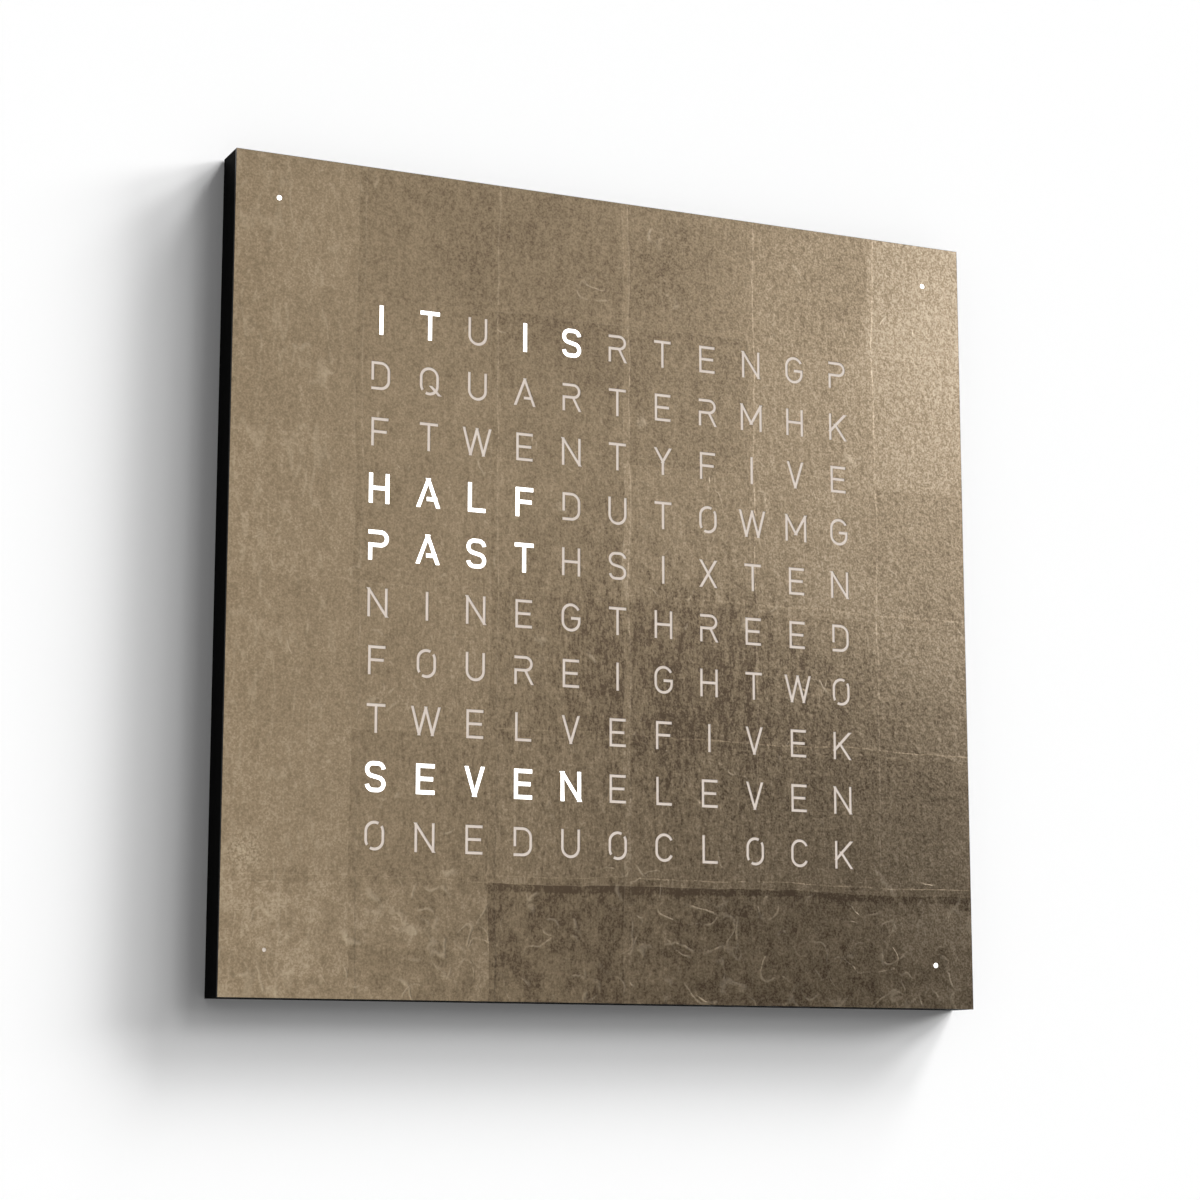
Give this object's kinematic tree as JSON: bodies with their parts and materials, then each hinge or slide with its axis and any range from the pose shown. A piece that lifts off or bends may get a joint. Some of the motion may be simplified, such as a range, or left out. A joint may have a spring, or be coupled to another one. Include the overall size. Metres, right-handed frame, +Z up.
{
  "type": "word clock",
  "caption": "Square wall-hung word clock: a gilded metal face with cut-out letters that light to spell the time, held by magnets on a shallow black case.",
  "frame": {"origin": "middle of the flat rear face that lies on the wall", "axes": "+Z up, +X to the viewer's right, the lettered face looks along -Y"},
  "size_m": [0.45, 0.0215, 0.45],
  "materials": {
    "gilded_steel": "satin",
    "lit_acrylic": "satin",
    "opal_acrylic": "satin",
    "diffuser_acrylic": "matte",
    "bright_steel": "satin",
    "black_lacquer": "satin",
    "hardboard": "matte",
    "nickel": "satin",
    "zinc_steel": "satin",
    "circuit_board": "satin",
    "nylon": "matte",
    "lamp_package": "satin",
    "grid_plastic": "matte",
    "chip_resin": "matte",
    "capacitor_can": "satin",
    "connector_plastic": "satin",
    "ribbon_vinyl": "satin",
    "button_plastic": "satin"
  },
  "bodies": {
    "root": {"left_rail": "black_lacquer", "right_rail": "black_lacquer", "top_rail": "black_lacquer", "bottom_rail": "black_lacquer", "cover_magnets": "nickel", "back_panel": "hardboard", "back_panel_screws": "zinc_steel", "corner_brackets": "zinc_steel", "corner_bracket_screws": "zinc_steel", "hanger_plates": "zinc_steel", "hanger_screws": "zinc_steel", "lamp_board": "circuit_board", "lamp_board_spacers": "nylon", "lamp_board_screws": "zinc_steel", "letter_lamps": "lamp_package", "light_cell_grid": "grid_plastic", "minute_boards": "circuit_board", "minute_lamps": "lamp_package", "minute_light_tubes": "grid_plastic", "controller_board": "circuit_board", "controller_spacers": "nylon", "controller_screws": "zinc_steel", "microcontroller": "chip_resin", "driver_chips": "chip_resin", "smoothing_capacitor": "capacitor_can", "clock_crystal": "nickel", "cell_holder": "connector_plastic", "coin_cell": "nickel", "power_inlet": "connector_plastic", "ribbon_headers": "connector_plastic", "ribbon_sockets": "connector_plastic", "ribbon_cable": "ribbon_vinyl", "tact_switches": "connector_plastic"},
    "front_cover": {"face_plate": "gilded_steel", "lit_letters": "lit_acrylic", "unlit_letters": "opal_acrylic", "lit_minute_dots": "lit_acrylic", "unlit_minute_dot": "opal_acrylic", "diffuser_sheet": "diffuser_acrylic", "locating_studs": "bright_steel"},
    "button_1": {"button_cap_1": "button_plastic", "switch_plunger_1": "connector_plastic"},
    "button_2": {"button_cap_2": "button_plastic", "switch_plunger_2": "connector_plastic"},
    "button_3": {"button_cap_3": "button_plastic", "switch_plunger_3": "connector_plastic"},
    "button_4": {"button_cap_4": "button_plastic", "switch_plunger_4": "connector_plastic"}
  },
  "joints": [
    {"name": "cover_pull_off", "type": "slide", "parent": "root", "child": "front_cover", "axis": [0, -1, 0], "range_m": [0, 0.04]},
    {"name": "button_1_press", "type": "slide", "parent": "root", "child": "button_1", "axis": [0, 0, 1], "range_m": [0, 0.0008], "stiffness_N_per_m": 1500, "springref_m": -0.0004},
    {"name": "button_2_press", "type": "slide", "parent": "root", "child": "button_2", "axis": [0, 0, 1], "range_m": [0, 0.0008], "stiffness_N_per_m": 1500, "springref_m": -0.0004},
    {"name": "button_3_press", "type": "slide", "parent": "root", "child": "button_3", "axis": [0, 0, 1], "range_m": [0, 0.0008], "stiffness_N_per_m": 1500, "springref_m": -0.0004},
    {"name": "button_4_press", "type": "slide", "parent": "root", "child": "button_4", "axis": [0, 0, 1], "range_m": [0, 0.0008], "stiffness_N_per_m": 1500, "springref_m": -0.0004}
  ]
}
